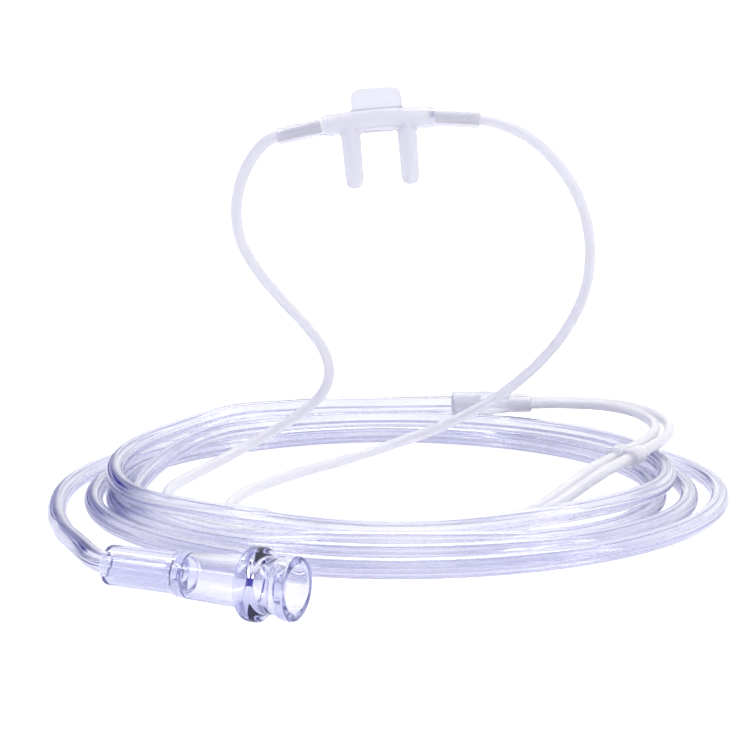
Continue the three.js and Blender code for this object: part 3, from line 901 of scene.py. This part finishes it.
def slider_body():
    """A short sleeve round both thin tubes: the outline of two overlapping circles carried
    along it, drawn in at both ends as the exponential of the distance from them."""
    along = np.array(SLIDER_ROWS)
    half = SLIDER_PITCH / 2
    ends = SLIDER_LENGTH / 2 - np.abs(along)
    radius = SLIDER_RADIUS - SLIDER_ROUND[0] * np.exp(-ends / SLIDER_ROUND[1])
    body = merged_body(
        "slide_adjuster_body", along, np.full(len(along), half), radius, SLIDER_HEADING, SLIDER_AT
    )
    cutters = []
    for side in (-1, 1):
        bore = straight(on_pair(-5, side * half), on_pair(5, side * half))
        cutters.append(solid_rod("bore", bore, SLIDER_BORE_RADIUS, 32))
    return cut(body, cutters)


def finish_piece(obj, material, node, body=BODY):
    """Gives the piece its material and its node's place on the body."""
    mesh = obj.data
    mesh.materials.clear()
    mesh.materials.append(material)
    mesh.shade_smooth()
    mesh.set_sharp_from_angle(angle=math.radians(40))
    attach(obj, body)
    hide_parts(node)


finish_piece(nasal_body(), NASAL_VINYL, "nasal_piece")
finish_piece(splitter_body(), SOFT_VINYL, "y_splitter")
finish_piece(slider_body(), SOFT_VINYL, "slide_adjuster", "adjuster")

# Studio

FLOOR_HALF = 6.0
FLOOR_AT = -0.2 * MM


def make_floor():
    """A white paper sweep, exposed to pure white for the camera. What the clear pieces
    refract of it is the paper's own pale lavender, which is what gives them their form."""
    material, tree = new_material("white paper sweep")
    at = add(tree, "ShaderNodeTexCoord")
    path = add(tree, "ShaderNodeLightPath")
    burnt_out = add(
        tree, "ShaderNodeMapRange", Value=path.outputs["Is Camera Ray"], To_Min=0.3, To_Max=0.8
    )
    surface = add(
        tree, "ShaderNodeBsdfPrincipled", Base_Color=linear("#e4e4ea"), Roughness=0.8,
        Emission_Color=linear("#ffffff"), Emission_Strength=burnt_out.outputs[0],
        Normal=skin_bump(tree, at, 0.6, 0.03, 0.2),
    )
    add(tree, "ShaderNodeOutputMaterial", Surface=surface.outputs[0])
    mesh = bpy.data.meshes.new("floor")
    signs = [(-1, -1), (1, -1), (1, 1), (-1, 1)]
    corners = [(x * FLOOR_HALF, y * FLOOR_HALF, FLOOR_AT) for x, y in signs]
    mesh.from_pydata(corners, [], [(0, 1, 2, 3)])
    mesh.materials.append(material)
    floor = bpy.data.objects.new("floor", mesh)
    bpy.context.scene.collection.objects.link(floor)


# The darker parts of the studio: direction in the lay frame, the cosines of the angles from
# it at which the dark begins and is full, and its colour
DARK_SIDES = [
    ([-0.75, -0.6, 0.3], 0.55, 0.9, "#4a48a8"),
    ([0.8, -0.55, 0.35], 0.75, 0.97, "#8a88c8"),
    ([0.0, 0.45, 0.9], 0.95, 0.985, "#5c5b78"),
    ([-0.5, 0.85, 0.12], 0.9, 0.985, "#35338c"),
]


def make_world():
    """White where the camera looks, and a studio with darker, violet sides in what the
    clear pieces reflect and refract: they draw the indigo streaks along the bends."""
    world = bpy.data.worlds.new("studio")
    bpy.context.scene.world = world
    world.use_nodes = True
    tree = world.node_tree
    tree.nodes.clear()
    at = add(tree, "ShaderNodeTexCoord")
    colour = None
    for direction, begins, full, dark in DARK_SIDES:
        aim = turned_about_z([direction], LAY_TURN)[0]
        aim = aim / np.linalg.norm(aim)
        facing = add(
            tree, "ShaderNodeVectorMath", {"operation": "DOT_PRODUCT"},
            **{"0": at.outputs["Generated"], "1": tuple(aim)},
        )
        share = add(
            tree, "ShaderNodeMapRange", {"interpolation_type": "SMOOTHSTEP"},
            Value=facing.outputs["Value"], From_Min=begins, From_Max=full,
        )
        tint = add(tree, "ShaderNodeMix", {"data_type": "RGBA"}, Factor=share.outputs[0])
        if colour is None:
            tint.inputs[6].default_value = linear("#ffffff")
        else:
            tree.links.new(colour, tint.inputs[6])
        tint.inputs[7].default_value = linear(dark)
        colour = tint.outputs[2]
    studio = add(tree, "ShaderNodeBackground", Color=colour, Strength=1.15)
    white = add(tree, "ShaderNodeBackground", Color=linear("#ffffff"), Strength=1.1)
    path = add(tree, "ShaderNodeLightPath")
    mix = add(
        tree, "ShaderNodeMixShader", Fac=path.outputs["Is Camera Ray"],
        **{"1": studio.outputs[0], "2": white.outputs[0]},
    )
    add(tree, "ShaderNodeOutputWorld", Surface=mix.outputs[0])


def softbox(name, at, aim, width, height, watts):
    """A flat lamp at a place in the lay frame, turned to face another."""
    data = bpy.data.lights.new(name, "AREA")
    data.shape, data.size, data.size_y, data.energy = "RECTANGLE", width, height, watts
    lamp = bpy.data.objects.new(name, data)
    bpy.context.scene.collection.objects.link(lamp)
    start, end = placed([at])[0], placed([aim])[0]
    lamp.location = start
    lamp.rotation_euler = Vector(end - start).to_track_quat("-Z", "Y").to_euler()


make_floor()
make_world()
softbox("key", [-500, -250, 600], [0, 0, 30], 0.12, 0.5, 1.3)
softbox("top", [150, 350, 700], [0, 0, 20], 0.7, 0.12, 1.2)
softbox("side", [650, -200, 350], [0, 0, 40], 0.08, 0.6, 0.7)

scene = bpy.context.scene
scene.view_settings.view_transform = "Standard"
# Light goes through up to six hollow turns one behind the other, and is piped along walls
scene.cycles.max_bounces = 40
scene.cycles.transmission_bounces = 40
scene.cycles.glossy_bounces = 40
